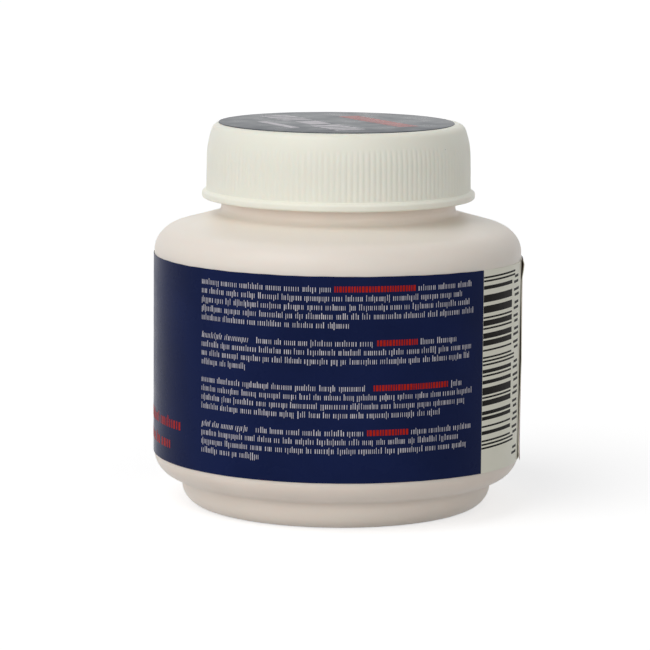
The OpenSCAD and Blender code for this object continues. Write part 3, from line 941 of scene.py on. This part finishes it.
def make_tip_brush():
    """The bottom brush: a disc with a stud below it and rings of tufts that form a cup."""
    rng = random.Random(11)
    field = TIP_BRUSH_R - 1.2
    tufts = []
    for n in range(1, TIP_RINGS + 1):
        share = n / TIP_RINGS
        tip_z = TIP_BACK_Z + 4.6 + 1.4 * share * share
        for k in range(1, 6 * n + 1):
            a = math.radians(60 / n * (k + n / 4))
            x, y = field * share * math.cos(a), field * share * math.sin(a)
            tufts.append(tuft(rng, np.array([x, y, TIP_BACK_Z - 0.3]), np.array([x, y, tip_z]), splay=1.2))
    stud_z = bottom("tip_brush")
    outline = soften([(0, stud_z, 0), (STUD_R, stud_z, 0.2), (STUD_R, BASKET_Z, 0),
                      (TIP_BRUSH_R, BASKET_Z, 0.15), (TIP_BRUSH_R, TIP_BACK_Z, 0.35), (0, TIP_BACK_Z, 0)])
    disc = skin(lathe(outline, np.arange(0, 360, 4)))
    points, faces, chosen = joined([disc, bristles(tufts)])
    brush = add_mesh("bottom_brush", points, faces, [brush_back, nylon], chosen)
    return piece(brush, "jar", "bristles", "tip_brush")


# Stage

def seen_directly(tree, share):
    """share for the camera, for gloss and through clear things, and 0 for other rays."""
    path = add_node(tree, "LightPath")
    rays = compute(tree, "MAXIMUM", path.outputs["Is Camera Ray"], path.outputs["Is Glossy Ray"])
    rays = compute(tree, "MAXIMUM", rays, path.outputs["Is Transmission Ray"])
    return compute(tree, "MULTIPLY", rays, share)


def make_floor():
    """A pale floor that reads white where no shadow falls on it."""
    mesh = bpy.data.meshes.new("floor")
    reach = FLOOR_REACH
    mesh.from_pydata([(-reach, -reach, 0), (reach, -reach, 0), (reach, reach, 0), (-reach, reach, 0)], [],
                     [(0, 1, 2, 3)])
    floor = add_object("floor", mesh)
    material = bpy.data.materials.new("pale_floor")
    material.use_nodes = True
    tree = material.node_tree
    tree.nodes.clear()
    glow = add_node(tree, "Emission", {"Color": (1, 1, 1, 1), "Strength": seen_directly(tree, FLOOR_GLOW)})
    matte = add_node(tree, "BsdfDiffuse", {"Color": (FLOOR_GREY, FLOOR_GREY, FLOOR_GREY, 1)})
    both = add_node(tree, "AddShader", {0: glow.outputs[0], 1: matte.outputs[0]})
    add_node(tree, "OutputMaterial", {"Surface": both.outputs[0]})
    mesh.materials.append(material)


def make_world():
    """White for the camera and in reflections, a mild grey light for everything else."""
    world = bpy.data.worlds.new("studio")
    bpy.context.scene.world = world
    world.use_nodes = True
    tree = world.node_tree
    tree.nodes.clear()
    strength = compute(tree, "ADD", seen_directly(tree, 1 - WORLD_LIGHT), WORLD_LIGHT)
    glow = add_node(tree, "Background", {"Color": (1, 1, 1, 1), "Strength": strength})
    add_node(tree, "OutputWorld", {"Surface": glow.outputs[0]})


def add_sun(name, azimuth, elevation, strength, gloss=True):
    """A soft lamp that shines from azimuth, in degrees from the front towards +X, and elevation. Without
    gloss, no reflection shows it."""
    data = bpy.data.lights.new(name, "SUN")
    data.energy = strength
    data.angle = math.radians(SUN_WIDTH)
    lamp = add_object(name, data)
    lamp.rotation_euler = (math.radians(90 - elevation), 0, math.radians(azimuth))
    lamp.visible_glossy = gloss


def make_camera():
    """The photograph's view, from a little above the cap's top."""
    pitch, yaw, roll = CAMERA_PITCH, CAMERA_YAW, CAMERA_ROLL
    ahead = np.array([math.sin(yaw) * math.cos(pitch), math.cos(yaw) * math.cos(pitch), -math.sin(pitch)])
    right = np.array([math.cos(yaw), -math.sin(yaw), 0])
    up = np.cross(right, ahead)
    across = math.cos(roll) * right + math.sin(roll) * up
    upright = -math.sin(roll) * right + math.cos(roll) * up
    data = bpy.data.cameras.new("camera")
    data.sensor_width = 36
    data.lens = CAMERA_LENS
    data.clip_start = 0.01
    camera = add_object("camera", data)
    turn = Matrix([across, upright, -ahead]).transposed().to_4x4()
    turn.translation = CAMERA_PLACE
    camera.matrix_world = turn
    bpy.context.scene.camera = camera


def dress_cad(node, material):
    """Gives a CAD node that is shown as it is its finish."""
    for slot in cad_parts[node].material_slots:
        slot.material = material


make_jar()
make_wrap()
make_prints()
make_cap()
make_top_label()
make_foil()
make_wad()
for strip in range(1, 7):
    make_strip(strip)
make_tip_brush()
dress_cad("dip_basket", insert_plastic)
dress_cad("basket_base", insert_plastic)
make_floor()
make_world()
add_sun("left_high", -46, 54, 0.88)
add_sun("left_low", -62, 6, 0.54, gloss=False)
add_sun("front_left", -28, 20, 0.36)
add_sun("front_right", 20, 20, 0.37)
add_sun("back", 180, 8, 0.30, gloss=False)
make_camera()
bpy.context.scene.view_settings.view_transform = "Standard"
